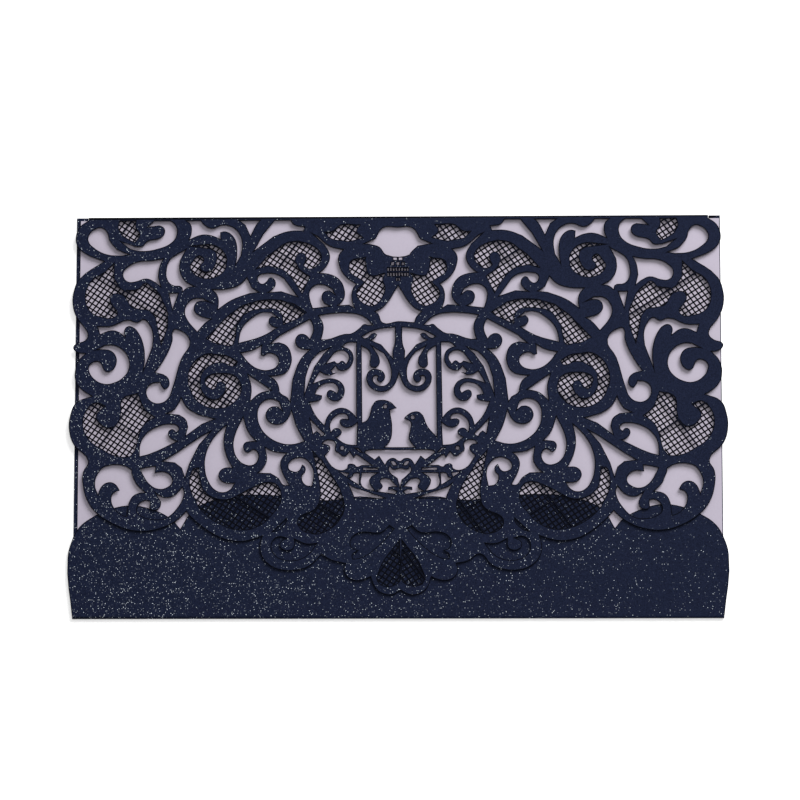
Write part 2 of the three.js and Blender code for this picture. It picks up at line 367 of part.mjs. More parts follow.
    [13.0, 60.5, 1], [14.2, 59.5], [15.7, 59.0], [17.0, 59.1], [18.1, 59.8], [18.5, 60.8], [18.1, 61.5],
    [17.0, 61.7], [15.8, 61.5, 1], [15.8, 62.3], [16.6, 63.1], [17.9, 63.3], [19.3, 62.8], [20.5, 61.8],
    [21.3, 60.4], [21.5, 58.9], [21.2, 57.6, 1], [20.7, 58.3], [19.8, 58.8], [18.8, 58.7], [18.0, 58.0],
    [17.9, 57.2], [18.6, 56.4], [19.6, 55.9, 1], [18.9, 55.2], [17.7, 54.4], [16.3, 53.8], [14.8, 53.5],
    [13.3, 53.5, 1],
  ],
  ring_notch: [
    [23.2, 57.0, 1], [24.2, 57.7], [25.2, 59.0], [26.3, 60.3], [27.6, 61.7, 1], [27.4, 60.2], [27.0, 58.5],
    [26.7, 57.1, 1], [26.1, 57.8], [25.3, 57.9], [24.7, 57.3], [24.2, 56.3, 1], [23.5, 56.4],
  ],
  fence_lens: [[1.0, 47.3, 1], [1.3, 48.0], [2.1, 48.5], [2.8, 48.4, 1], [2.5, 47.6], [1.8, 47.2]],
  fence_slot: [[6.8, 45.8, 1], [11.3, 45.8, 1], [11.3, 46.4, 1], [6.8, 46.4, 1]],
  fence_field: [
    [8.6, 47.2, 1], [9.9, 48.2], [11.3, 49.1], [12.6, 49.9], [13.1, 50.6], [13.6, 50.6], [14.2, 49.5, 1],
    [14.7, 50.3], [15.2, 51.3], [15.8, 51.4], [16.2, 50.7], [16.8, 50.1], [17.5, 50.1], [18.2, 50.9],
    [18.9, 51.2], [19.6, 51.3], [19.9, 52.0], [19.7, 53.4], [20.1, 54.6], [21.4, 55.1], [22.9, 55.0],
    [23.9, 54.0, 1], [22.8, 53.8], [21.8, 53.4], [21.4, 52.6], [21.8, 51.7], [22.6, 50.9], [23.2, 50.2, 1],
    [22.2, 49.0], [21.2, 47.7], [19.9, 46.2, 1], [18.4, 46.1], [16.4, 46.2, 1], [16.3, 47.0], [15.8, 47.6],
    [14.8, 47.7], [13.9, 47.4], [13.3, 46.8, 1], [12.7, 47.2], [11.4, 47.3],
  ],
  fence_leaf: [[11.7, 51.3, 1], [12.1, 52.0], [12.8, 52.5], [13.8, 52.6, 1], [13.2, 51.9], [12.5, 51.4]],
  fence_corner: [
    [12.5, 44.9, 1], [14.0, 44.9], [14.3, 44.1], [14.9, 43.6], [15.8, 43.2, 1], [14.6, 42.3], [13.6, 41.7],
    [12.7, 41.2, 1],
  ],
  fence_tip: [[15.9, 44.8, 1], [17.0, 45.0], [18.4, 45.1, 1], [17.3, 44.3], [16.4, 43.6]],
  fence_post: [
    [7.0, 44.9, 1], [11.7, 44.9, 1], [11.8, 40.9, 1], [10.4, 40.4], [9.0, 39.8], [7.9, 39.3, 1],
    [8.5, 40.3], [9.1, 41.2], [9.5, 42.3], [9.3, 43.3], [8.6, 43.9], [7.8, 44.2],
  ],
  heart_lobe: [
    [1.0, 40.6, 1], [1.8, 41.6], [2.8, 42.7], [4.0, 43.2], [5.3, 43.2], [6.1, 42.7], [6.0, 42.0],
    [5.5, 41.3], [5.4, 40.6], [5.9, 39.9], [7.2, 39.2, 1], [6.0, 38.9], [4.5, 38.7], [3.0, 38.4],
    [1.8, 38.3], [1.0, 38.9], [1.4, 39.5], [2.4, 39.7], [3.2, 39.4], [3.7, 39.5], [3.9, 40.0], [3.5, 40.6],
    [2.5, 40.8],
  ],
  heart_band: [
    [4.8, 37.1, 1], [6.5, 37.8], [8.5, 38.5], [10.5, 39.0], [12.5, 39.6], [14.5, 40.4], [15.9, 41.5, 1],
    [15.4, 40.3], [14.7, 39.3], [14.4, 38.4], [14.1, 37.0, 1], [12.0, 37.2], [10.0, 37.2], [7.5, 36.8],
  ],
};

// Small holes: middle and radius of a round one, middle, width and height of a rectangular one
const fence_dot = [17.8, 52.6, 0.6];
const middle_body_hole = [0, 110.2, 0.9, 0.9];
const body_holes = [
  [0.85, 111.7, 1.1, 0.8], [1.65, 110.2, 0.9, 0.9], [1.3, 108.4, 0.5, 1.0], [2.2, 108.4, 0.5, 1.0],
  [3.0, 108.4, 0.5, 1.0], [1.3, 106.8, 0.5, 1.0], [2.2, 106.8, 0.5, 1.0], [3.0, 106.8, 0.5, 1.0],
  [0.45, 108.4, 0.45, 1.0], [0.45, 106.8, 0.45, 1.0], [0.4, 105.3, 0.4, 0.9],
];

// Windows of the right half that are crossed by diagonal strands
const strand_windows = {
  wing_crest: [
    [11.7, 122.4, 1], [14.8, 122.3], [17.2, 122.6], [18.6, 121.6], [20.2, 120.4], [22.6, 120.2, 1],
    [21.0, 118.4], [18.6, 117.7], [16.0, 117.3], [13.4, 117.6], [10.8, 118.4, 1], [12.2, 119.6],
    [12.8, 120.8],
  ],
  wing: [
    [10.0, 112.2, 1], [12.0, 111.9], [14.2, 111.3], [15.0, 109.8], [14.8, 107.8], [13.4, 106.4],
    [11.4, 105.4], [10.2, 104.3], [11.6, 103.2], [12.6, 101.8], [12.6, 99.9], [11.2, 98.5], [9.4, 97.2],
    [7.8, 97.0], [6.4, 98.0], [5.0, 99.8], [4.1, 101.8], [4.4, 103.7], [4.8, 105.4], [3.9, 107.2, 1],
    [6.4, 106.9], [8.5, 106.4], [9.6, 107.4], [9.8, 109.0], [10.2, 110.6],
  ],
  leaf: [
    [23.8, 112.0], [24.3, 114.0], [26.0, 115.6], [28.4, 116.8], [31.0, 117.4], [34.0, 117.0],
    [36.5, 115.7], [38.7, 114.1], [40.7, 112.3], [43.8, 108.8, 1], [41.0, 109.8], [38.2, 109.5],
    [35.8, 108.6], [34.0, 107.2], [32.6, 105.4], [31.2, 103.2], [29.8, 101.0, 1], [28.9, 102.6],
    [28.5, 104.4], [27.4, 106.2, 1], [28.6, 107.2], [30.1, 108.0], [31.3, 109.6], [32.0, 111.4],
    [31.4, 113.1], [29.9, 113.8], [28.5, 112.9], [28.5, 111.4], [29.2, 109.7, 1], [27.6, 108.7],
    [25.8, 109.3], [24.4, 110.6],
  ],
  curl_ring: [
    [64.2, 116.0, 1], [61.0, 116.5], [57.6, 116.3], [55.0, 115.0], [53.4, 112.6], [53.2, 110.0],
    [54.4, 107.8], [56.6, 106.3], [59.4, 105.8], [62.2, 106.6], [64.0, 108.4], [64.2, 110.6],
    [62.8, 112.3], [61.4, 112.9], [60.2, 111.6], [61.3, 110.2], [61.2, 108.6], [59.6, 107.8],
    [57.8, 108.2], [56.9, 109.8], [56.0, 111.6], [56.2, 113.6], [57.8, 115.0], [60.8, 115.4],
  ],
  corner_band: [
    [81.4, 124.0, 1], [86.4, 124.0, 1], [86.8, 122.2], [86.2, 120.3], [84.4, 118.6], [81.6, 117.3, 1],
    [80.2, 119.6], [81.4, 121.6],
  ],
  shoulder: [
    [88.0, 110.6, 1], [89.8, 108.5], [92.0, 107.2], [94.2, 105.8], [95.8, 103.6], [96.5, 101.0],
    [96.4, 98.2], [95.2, 95.8], [93.0, 94.2], [90.4, 93.5], [88.0, 93.6], [86.8, 95.0], [87.8, 96.8],
    [89.0, 98.4], [89.0, 100.2], [87.6, 101.2], [85.6, 101.0], [83.9, 99.6], [83.0, 97.6], [81.2, 96.5],
    [78.8, 96.2], [76.6, 95.6], [75.1, 94.0], [74.4, 91.4], [74.0, 88.6], [73.2, 85.2, 1], [72.0, 88.2],
    [71.3, 91.4], [71.3, 94.6], [72.4, 97.9], [74.0, 101.0], [76.0, 102.9], [78.2, 104.3, 1],
    [79.6, 102.8], [81.8, 102.2], [84.4, 102.2], [86.5, 103.5], [87.9, 105.6], [88.2, 108.0],
  ],
  arc_leaf: [
    [28.6, 95.0, 1], [31.0, 96.9], [34.2, 98.3], [38.0, 98.9], [42.0, 98.8], [46.0, 98.1], [49.4, 96.6],
    [52.2, 94.4], [54.6, 92.0], [57.0, 89.6], [59.4, 86.9, 1], [56.8, 85.5], [53.8, 84.9], [51.4, 85.0],
    [51.0, 87.6], [50.4, 90.4], [49.2, 92.8], [47.2, 95.0], [44.4, 96.1], [41.0, 96.3], [37.9, 96.1],
    [36.2, 94.8], [35.8, 93.2], [35.6, 91.3, 1], [33.4, 92.1], [31.0, 93.3],
  ],
  spiral: [
    [50.0, 79.6, 1], [52.6, 81.2], [56.0, 82.0], [59.4, 82.0], [62.2, 80.4], [64.2, 77.8], [65.0, 74.6],
    [64.4, 71.2], [62.6, 68.0], [59.8, 65.9], [56.4, 65.1], [53.2, 65.6], [50.6, 67.4], [49.1, 70.0],
    [49.0, 72.8], [50.6, 75.0], [53.4, 75.9], [56.6, 75.7], [59.2, 74.9], [59.8, 73.0], [58.6, 71.1],
    [57.0, 71.2], [56.4, 72.8], [54.8, 73.5], [53.5, 72.2], [53.9, 70.0], [55.4, 68.2], [57.6, 67.8],
    [59.8, 69.0], [61.3, 71.6], [61.3, 74.8], [59.9, 77.4], [57.6, 79.0], [54.6, 79.5], [50.8, 78.4, 1],
  ],
  side_lobe: [
    [80.2, 69.8, 1], [82.6, 69.4], [84.6, 68.4], [85.4, 66.4], [85.2, 64.2], [85.4, 62.2], [86.4, 60.4],
    [88.4, 59.0], [90.6, 59.6], [92.4, 61.2], [92.9, 63.2], [91.6, 64.8], [90.2, 65.9, 1], [92.4, 66.9],
    [94.4, 66.4], [96.0, 64.2], [96.7, 61.6], [96.6, 58.8], [95.4, 56.2], [93.4, 54.0], [91.0, 52.4],
    [88.4, 51.0], [85.2, 50.1], [82.4, 50.4], [81.4, 52.6], [80.8, 55.0], [79.8, 57.6], [78.2, 60.4],
    [75.2, 62.4, 1], [77.4, 64.0], [79.0, 66.2],
  ],
  ring_flank: [
    [26.8, 51.6, 1], [25.4, 50.4], [23.6, 48.0], [21.6, 45.0], [19.6, 41.8], [18.0, 38.4], [17.3, 35.0],
    [18.0, 31.6], [20.2, 28.8], [23.2, 26.8], [26.4, 26.0], [29.5, 26.8], [31.5, 28.9], [31.2, 31.0],
    [29.5, 32.0], [27.5, 32.8], [25.4, 34.6], [24.5, 37.2], [24.6, 40.6], [25.1, 44.2], [26.0, 48.0],
  ],
  hem_lobe: [
    [38.3, 41.4], [41.0, 42.0], [44.5, 41.0], [47.5, 39.2], [50.4, 37.6], [53.6, 36.6], [57.0, 37.2],
    [60.2, 39.2], [61.4, 42.4], [61.8, 46.6, 1], [63.5, 46.2], [64.4, 43.4], [64.2, 40.0], [63.0, 36.8],
    [61.2, 33.8], [58.2, 30.9], [54.4, 28.6], [50.0, 27.4], [45.6, 27.8], [42.0, 29.6], [39.2, 32.4],
    [37.2, 35.4], [36.8, 38.8],
  ],
  hem_middle: [
    [0.4, 24.0, 1], [2.0, 22.2], [3.8, 19.9], [5.4, 17.4], [6.8, 14.5], [7.4, 12.2, 1], [6.8, 10.9],
    [5.4, 10.0], [3.6, 9.8], [1.8, 10.4], [0.4, 11.6, 1],
  ],
};

const card = new THREE.MeshStandardMaterial({ color: 0x1b2238, roughness: 0.75, metalness: 0.1 });
const pearl = new THREE.MeshStandardMaterial({ color: 0xbab2c4, roughness: 0.5, metalness: 0.05 });

function side(points, sign) {
  return points.map(([x, y, corner]) => [sign * x, y, corner]);
}

// A closed outline of a half drawing and its mirror image, which meet on the middle line
function both_halves(right, left = right) {
  return right.concat(side(left, -1).reverse());
}

// How far the points between two others stray from the straight line that joins those two
function stray(points, from, to) {
  const chord = points[to].clone().sub(points[from]);
  const between = points.slice(from + 1, to).map((point) => point.clone().sub(points[from]));
  const length = chord.length();
  return Math.max(0, ...between.map((offset) => Math.abs(chord.cross(offset)) / length));
}

// Leaves out every point that the straight lines between its neighbours pass within the tolerance
function thinned(points) {
  const kept = [points[0]];
  let from = 0;
  for (let to = 2; to < points.length; to++) {
    if (stray(points, from, to) > curve_tolerance) {
      from = to - 1;
      kept.push(points[from]);
    }
  }
  return kept.concat([points[points.length - 1]]);
}

// Smooth curves between the corners of a hand drawn outline, mapped to real millimetres by place
function outline(drawing, place) {
  const start = Math.max(0, drawing.findIndex((point) => point[2]));
  const turned = drawing.slice(start).concat(drawing.slice(0, start), [drawing[start]]);
  const outline_points = [];
  let run = [];
  turned.forEach((point, i) => {
    run.push(new THREE.Vector2(point[0], point[1]));
    if (i > 0 && (point[2] || i === turned.length - 1)) {
      const curve = new THREE.SplineCurve(run);
      const samples = run.length > 2 ? curve.getPoints(curve_divisions * run.length) : run;
      outline_points.push(...thinned(samples).slice(0, -1));
      run = [run[run.length - 1]];
    }
  });
  return outline_points.map(place);
}

function circle([x, y, radius]) {
  return Array.from({ length: circle_sides }, (_, i) => {
    const angle = (2 * Math.PI * i) / circle_sides;
    return [x + radius * Math.cos(angle), y + radius * Math.sin(angle), 1];
  });
}

function rectangle([x, y, width, height]) {
  return [[-1, -1], [1, -1], [1, 1], [-1, 1]].map(([i, j]) => [x + (i * width) / 2, y + (j * height) / 2, 1]);
}

// A point of the lace drawing on the real flap, with the creep and the spread that grow below the fold
function on_flap(point) {
  const down = 1 - point.y / drawn_fold_y;
  const quarter = drawn_width / 4;
  const leftward = Math.max(0, -point.x / quarter - 1);
  const shift = flap_creep * down - flap_spread * leftward * down * (2 - down);
  const x = (point.x * panel_width) / drawn_width + shift;
  return new THREE.Vector2(x, (point.y * flap_fold_y) / drawn_fold_y);
}

function on_pocket(point) {
  const past_panel = Math.max(0, Math.abs(point.x) - drawn_width / 2);
  const inside = Math.abs(point.x) - past_panel;
  const x = (inside * panel_width) / drawn_width + (past_panel * pocket_flare) / drawn_pocket_flare;
  const y = (point.y * panel_height * pocket_peak) / (drawn_height * drawn_pocket_peak);
  return new THREE.Vector2(Math.sign(point.x) * x, Math.max(pocket_fold_y, y));
}

function solid(geometry) {
  const bare = geometry.clone();
  bare.deleteAttribute('normal');
  bare.deleteAttribute('uv');
  const merged = mergeVertices(bare, weld_distance);
  return new wasm.Manifold(new wasm.Mesh({
    numProp: 3,
    vertProperties: new Float32Array(merged.attributes.position.array),
    triVerts: new Uint32Array(merged.index.array),
  }));
}

function geometry_of(body) {
  const mesh = body.getMesh();
  const geometry = new THREE.BufferGeometry();
  geometry.setAttribute('position', new THREE.BufferAttribute(new Float32Array(mesh.vertProperties), 3));
  geometry.setIndex(new THREE.BufferAttribute(new Uint32Array(mesh.triVerts), 1));
  geometry.computeVertexNormals();
  return geometry;
}

// A flat sheet with this outline, its underside at the given height
function sheet(points, bottom, depth) {
  const geometry = new THREE.ExtrudeGeometry(new THREE.Shape(points), { depth, bevelEnabled: false });
  return solid(geometry.translate(0, 0, bottom));
}

function joined(bodies) {
  return wasm.Manifold.union(bodies);
}

// A half turn of card about a line along X, with short flat tails that run into the sheets it joins
function fold(radius, y, half_length, turn) {
  const outer = radius + card_thickness;
  const profile = new THREE.Shape();
  profile.moveTo(-fold_overlap, -outer);
  profile.lineTo(0, -outer);
  profile.absarc(0, 0, outer, -Math.PI / 2, Math.PI / 2, false);
  profile.lineTo(-fold_overlap, outer);
  profile.lineTo(-fold_overlap, radius);
  profile.lineTo(0, radius);
  profile.absarc(0, 0, radius, Math.PI / 2, -Math.PI / 2, true);
  profile.lineTo(-fold_overlap, -radius);
  const geometry = new THREE.ExtrudeGeometry(profile, {
    depth: 2 * half_length,
    bevelEnabled: false,
    curveSegments: fold_steps,
  });
  geometry.translate(0, 0, -half_length);
  const along = new THREE.Matrix4().makeBasis(
    new THREE.Vector3(0, turn, 0),
    new THREE.Vector3(0, 0, 1),
    new THREE.Vector3(turn, 0, 0),
  );
  geometry.applyMatrix4(along);
  geometry.translate(0, y, card_thickness + radius);
  return solid(geometry);
}

function back_panel() {
  const half = panel_width / 2;
  const ear = flap_fold_half + sheet_clearance;
  const points = [
    [-half, pocket_fold_y], [half, pocket_fold_y], [half, panel_height], [ear, panel_height],
    [ear, flap_fold_y], [-ear, flap_fold_y], [-ear, panel_height], [-half, panel_height],
  ];
  return sheet(points.map(([x, y]) => new THREE.Vector2(x, y)), 0, card_thickness);
}

function pocket() {
  return sheet(outline(both_halves(pocket_edge), on_pocket), pocket_z, card_thickness);
}

function cutter(drawing) {
  const reach = card_thickness;
  return sheet(outline(drawing, on_flap), flap_z - reach, card_thickness + 2 * reach);
}

function mirrored_cutters(drawings) {
  return drawings.flatMap((drawing) => [cutter(drawing), cutter(side(drawing, -1))]);
}

// One family of parallel strands over the whole flap, spaced out along a line at the given lean
function strands(lean, spacing) {
  const length = 2 * (panel_width + panel_height);
  const count = Math.ceil((panel_width + panel_height) / (2 * spacing));
  const depth = 4 * card_thickness;
  const bars = [];
  for (let i = -count; i <= count; i++) {
    const geometry = new THREE.BoxGeometry(strand_width, length, depth);
    geometry.translate(i * spacing, 0, flap_z + card_thickness / 2);
    geometry.rotateZ(THREE.MathUtils.degToRad(lean));
    geometry.translate(0, panel_height / 2, 0);
    bars.push(solid(geometry));
  }
  return joined(bars);
}

// The gaps between the strands in the windows of one half; sign is 1 on the right and -1 on the left
function window_gaps(sign) {
  const windows = joined(Object.values(strand_windows).map((drawing) => cutter(side(drawing, sign))));
  const rising = strands(sign * rising_lean, rising_spacing);
  const falling = strands(sign * falling_lean, falling_spacing);
  return windows.subtract(rising).subtract(falling);
}

function flap() {
  const whole = sheet(outline(both_halves(flap_edge), on_flap), flap_z, card_thickness);
  const right_of_window = bird_window_scrolls.concat(small_bird);
  const left_of_window = bird_window_scrolls.concat(large_bird);
  const cuts = [
    ...Object.values(crossing_openings).map((drawing) => cutter(both_halves(drawing))),
    ...mirrored_cutters(Object.values(openings)),
    ...mirrored_cutters(body_holes.map(rectangle)),
    ...mirrored_cutters([circle(fence_dot)]),
    cutter(both_halves(right_of_window, left_of_window)),
    cutter(circle(small_bird_eye)),
    cutter(circle(large_bird_eye)),
    cutter(rectangle(middle_body_hole)),
  ];
  return whole.subtract(joined(cuts)).subtract(window_gaps(1)).subtract(window_gaps(-1));
}

function jacket() {
  const body = joined([
    back_panel(),
    fold(pocket_fold_radius, pocket_fold_y, panel_width / 2, -1),
    pocket(),
    fold(flap_fold_radius, flap_fold_y, flap_fold_half, 1),
    flap(),
  ]);
  const mesh = new THREE.Mesh(geometry_of(body), card);
  mesh.name = 'jacket';
  return mesh;
}

function insert_card() {
  const width = panel_width - 2 * insert_side_margin;
  const bottom = pocket_fold_y + sheet_clearance;
  const top = panel_height - insert_top_margin;
  const geometry = new THREE.BoxGeometry(width, top - bottom, insert_thickness);
  const height = card_thickness + sheet_clearance + insert_thickness / 2;
  const mesh = new THREE.Mesh(geometry, pearl);
  mesh.name = 'insert_card';
  mesh.position.set(insert_slide, (top + bottom) / 2, height);
  return mesh;
}

const invitation = new THREE.Group();
invitation.add(jacket(), insert_card());

// The origin is under the middle of the folded card
const box = new THREE.Box3().setFromObject(invitation);
const middle = box.getCenter(new THREE.Vector3());
invitation.position.set(-middle.x, -middle.y, -box.min.z);
invitation.updateMatrixWorld(true);

export default invitation;
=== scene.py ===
# Laser-cut wedding invitation: a navy glitter card folder with a lace flap over a pearl insert sheet.
# The folder lies on its back. X is its long side, Y runs up the page and Z comes out of the front.
# Lengths are in metres.
import math

import bmesh
import bpy
from mathutils import Matrix, Vector
from mathutils.geometry import delaunay_2d_cdt


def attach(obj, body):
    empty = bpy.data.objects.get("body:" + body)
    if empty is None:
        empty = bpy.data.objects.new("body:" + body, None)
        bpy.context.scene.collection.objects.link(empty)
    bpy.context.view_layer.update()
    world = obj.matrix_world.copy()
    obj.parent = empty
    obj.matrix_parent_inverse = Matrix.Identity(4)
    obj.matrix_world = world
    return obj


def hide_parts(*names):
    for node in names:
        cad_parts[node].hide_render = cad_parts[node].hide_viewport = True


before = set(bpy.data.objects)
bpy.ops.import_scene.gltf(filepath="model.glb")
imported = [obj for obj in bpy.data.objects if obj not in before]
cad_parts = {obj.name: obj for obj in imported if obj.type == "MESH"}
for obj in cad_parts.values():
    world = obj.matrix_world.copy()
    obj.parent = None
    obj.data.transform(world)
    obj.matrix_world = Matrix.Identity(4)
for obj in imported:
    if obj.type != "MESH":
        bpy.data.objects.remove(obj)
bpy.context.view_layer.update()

# The view: a long lens nearly straight above the card, tilted a little towards its lower edge,
# with the whole card in the middle of a square picture.
lens_length = 160.4
sensor_width = 36
camera_place = (0.0335, -0.1305, 1.093)
camera_tilt_degrees = (7.072, 1.717, 0.018)

camera_data = bpy.data.cameras.new("camera")
camera_data.lens = lens_length
camera_data.sensor_width = sensor_width
camera = bpy.data.objects.new("camera", camera_data)
bpy.context.scene.collection.objects.link(camera)
camera.location = camera_place
camera.rotation_euler = [math.radians(angle) for angle in camera_tilt_degrees]
bpy.context.scene.camera = camera
bpy.context.scene.view_settings.view_transform = "Standard"

# The setting: a plain white table under the card, a large soft lamp beyond the upper right corner that
# shades the upper side of each opening, a smaller one overhead, and an even pale surround.
plain_white = (1, 1, 1, 1)
table_half = 2.0
table_drop = 0.00002
table_white = (0.9, 0.9, 0.9, 1)
table_roughness = 0.9
table_glow = 0.45
surround_strength = 0.24

table_mesh = bmesh.new()
bmesh.ops.create_grid(table_mesh, x_segments=1, y_segments=1, size=table_half)
bmesh.ops.translate(table_mesh, verts=table_mesh.verts, vec=(0, 0, -table_drop))
table_data = bpy.data.meshes.new("table")
table_mesh.to_mesh(table_data)
table_mesh.free()
table = bpy.data.objects.new("table", table_data)
bpy.context.scene.collection.objects.link(table)


def white_surface():
    """A matte white table that shows as plain white where nothing shades it."""
    material = bpy.data.materials.new("white_table")
    material.use_nodes = True
    nodes, links = material.node_tree.nodes, material.node_tree.links
    surface = nodes["Principled BSDF"]
    surface.inputs["Base Color"].default_value = table_white
    surface.inputs["Roughness"].default_value = table_roughness
    glow = nodes.new("ShaderNodeEmission")
    glow.inputs["Color"].default_value = plain_white
    glow.inputs["Strength"].default_value = table_glow
    shown = nodes.new("ShaderNodeLightPath")
    both = nodes.new("ShaderNodeAddShader")
    seen = nodes.new("ShaderNodeMixShader")
    links.new(shown.outputs["Is Camera Ray"], seen.inputs["Fac"])
    links.new(surface.outputs["BSDF"], seen.inputs[1])
    links.new(surface.outputs["BSDF"], both.inputs[0])
    links.new(glow.outputs["Emission"], both.inputs[1])
    links.new(both.outputs["Shader"], seen.inputs[2])
    links.new(seen.outputs["Shader"], nodes["Material Output"].inputs["Surface"])
    return material


table_data.materials.append(white_surface())

for name, place, size, power in (
    ("corner_lamp", (0.55, 0.85, 0.85), 0.75, 19.5),
    ("overhead_lamp", (0.06, 0.12, 1.2), 0.25, 2.6),
):
    lamp_data = bpy.data.lights.new(name, "AREA")
    lamp_data.size = size
    lamp_data.energy = power
    lamp = bpy.data.objects.new(name, lamp_data)
    lamp.location = place
    lamp.rotation_euler = Vector(place).to_track_quat("Z", "Y").to_euler()
    bpy.context.scene.collection.objects.link(lamp)

world = bpy.data.worlds.new("surround")
world.use_nodes = True
world.node_tree.nodes["Background"].inputs["Color"].default_value = plain_white
world.node_tree.nodes["Background"].inputs["Strength"].default_value = surround_strength
bpy.context.scene.world = world


# The folder: one sheet of glitter card, cut by laser, with its pocket folded up and its flap down.
# It is coated with fine navy glitter, whose bright flecks thin out towards the upper right corner, and
# the brightest of them are painted glints. The laser burns the card's cut edges; the same dark colour
# is painted as shade on the steep round of each fold and over the top of the upper fold.
card_navy = (0.0024, 0.0048, 0.018, 1)
card_navy_pale = (0.0098, 0.015, 0.041, 1)
card_roughness = 0.6
card_gloss = 0.08
grain_size = 0.00022
grain_depth = 0.00003
grain_strength = 0.35
glitter_dim = (0.04, 0.048, 0.08, 1)
painted_glint_white = (0.85, 0.93, 1, 1)
fleck_spacing = 0.00038
fleck_radius = 0.0001102
fleck_luck = 0.975
fleck_rarity = 3.0
fleck_thinning = {"X": -0.8, "Y": -0.9}
patch_scale = 28
patch_detail = 2
patch_weight = 0.14
burnt_and_shaded_edge = (0.0012, 0.0013, 0.0025, 1)
burnt_and_shaded_edge_pale = (0.0035, 0.0042, 0.009, 1)
burnt_roughness = 0.7
burnt_gloss = 0.03
soot_scale = 2500
flattest_burn_and_shade = 0.3


def math_node(nodes, links, operation, *values):
    """One sum or comparison; each value is a number or another node's output."""
    node = nodes.new("ShaderNodeMath")
    node.operation = operation
    for socket, value in zip(node.inputs, values):
        if isinstance(value, (int, float)):
            socket.default_value = value
        else:
            links.new(value, socket)
    return node.outputs[0]


def mixed_colour(nodes, links, share, first, second):
    """The first colour turned into the second by a share from 0 to 1."""
    node = nodes.new("ShaderNodeMix")
    node.data_type = "RGBA"
    links.new(share, node.inputs["Factor"])
    for socket, value in ((node.inputs["A"], first), (node.inputs["B"], second)):
        if isinstance(value, tuple):
            socket.default_value = value
        else:
            links.new(value, socket)
    return node.outputs["Result"]


def glitter_card():
    """Navy card under a coat of fine glitter, with small flecks, the brightest painted glints, and
    burnt cut edges; the steep round of each fold takes the edge colour as painted shade.
    """
    material = bpy.data.materials.new("glitter_card")
    material.use_nodes = True
    nodes, links = material.node_tree.nodes, material.node_tree.links
    surface = nodes["Principled BSDF"]
    place = nodes.new("ShaderNodeTexCoord").outputs["Object"]

    grain = nodes.new("ShaderNodeTexVoronoi")
    grain.inputs["Scale"].default_value = 1 / grain_size
    links.new(place, grain.inputs["Vector"])
    grain_value = nodes.new("ShaderNodeSeparateColor")
    links.new(grain.outputs["Color"], grain_value.inputs["Color"])

    flecks = nodes.new("ShaderNodeTexVoronoi")
    flecks.voronoi_dimensions = "2D"
    flecks.inputs["Scale"].default_value = 1 / fleck_spacing
    links.new(place, flecks.inputs["Vector"])
    fleck_value = nodes.new("ShaderNodeSeparateColor")
    links.new(flecks.outputs["Color"], fleck_value.inputs["Color"])

    patches = nodes.new("ShaderNodeTexNoise")
    patches.inputs["Scale"].default_value = patch_scale
    patches.inputs["Detail"].default_value = patch_detail
    links.new(place, patches.inputs["Vector"])

    coat = mixed_colour(nodes, links, grain_value.outputs["Red"], card_navy, card_navy_pale)
    crowding = math_node(nodes, links, "MULTIPLY", patches.outputs["Fac"], patch_weight)
    luck = math_node(nodes, links, "ADD", fleck_value.outputs["Green"], crowding)
    position = nodes.new("ShaderNodeSeparateXYZ")
    links.new(place, position.inputs["Vector"])
    for axis, change in fleck_thinning.items():
        gain = math_node(nodes, links, "MULTIPLY", position.outputs[axis], change)
        luck = math_node(nodes, links, "ADD", luck, gain)
    shine = nodes.new("ShaderNodeValToRGB")
    shine.color_ramp.elements[0].position = fleck_luck
    links.new(luck, shine.inputs["Fac"])
    dot = math_node(nodes, links, "LESS_THAN", flecks.outputs["Distance"], fleck_radius / fleck_spacing)
    dim = math_node(nodes, links, "MULTIPLY", shine.outputs["Color"], dot)
    coat = mixed_colour(nodes, links, dim, coat, glitter_dim)
    # The brightest flecks are painted glints: the sparkle of the glitter painted white into the card's
    # colour.
    rare = math_node(nodes, links, "POWER", fleck_value.outputs["Blue"], fleck_rarity)
    painted_glint = math_node(nodes, links, "MULTIPLY", dim, rare)
    coat = mixed_colour(nodes, links, painted_glint, coat, painted_glint_white)

    # Steep faces take the dark edge colour: on the cut walls it is the laser's burn, and on the steep
    # round of each fold it is painted shade.
    facing = nodes.new("ShaderNodeNewGeometry")
    upright = nodes.new("ShaderNodeSeparateXYZ")
    links.new(facing.outputs["True Normal"], upright.inputs["Vector"])
    flatness = math_node(nodes, links, "ABSOLUTE", upright.outputs["Z"])
    cut_edge = math_node(nodes, links, "LESS_THAN", flatness, flattest_burn_and_shade)
    links.new(mixed_colour(nodes, links, cut_edge, coat, burnt_and_shaded_edge), surface.inputs["Base Color"])

    bump = nodes.new("ShaderNodeBump")
    bump.inputs["Strength"].default_value = grain_strength
    bump.inputs["Distance"].default_value = grain_depth
    links.new(grain_value.outputs["Green"], bump.inputs["Height"])
    links.new(bump.outputs["Normal"], surface.inputs["Normal"])
    surface.inputs["Roughness"].default_value = card_roughness
    surface.inputs["Specular IOR Level"].default_value = card_gloss
    return material


def burnt_and_shade_card():
    """The scorched rim that the laser leaves beside each cut, nearly black and without glitter; the top
    fold wears it too, as painted shade.
    """
    material = bpy.data.materials.new("burnt_and_shade_card")
    material.use_nodes = True
    nodes, links = material.node_tree.nodes, material.node_tree.links
    surface = nodes["Principled BSDF"]
    soot = nodes.new("ShaderNodeTexNoise")
    soot.inputs["Scale"].default_value = soot_scale
    links.new(nodes.new("ShaderNodeTexCoord").outputs["Object"], soot.inputs["Vector"])
    rim = mixed_colour(nodes, links, soot.outputs["Fac"], burnt_and_shaded_edge, burnt_and_shaded_edge_pale)
    links.new(rim, surface.inputs["Base Color"])
    surface.inputs["Roughness"].default_value = burnt_roughness
    surface.inputs["Specular IOR Level"].default_value = burnt_gloss
    return material


folder_card = glitter_card()
burnt_and_shade = burnt_and_shade_card()

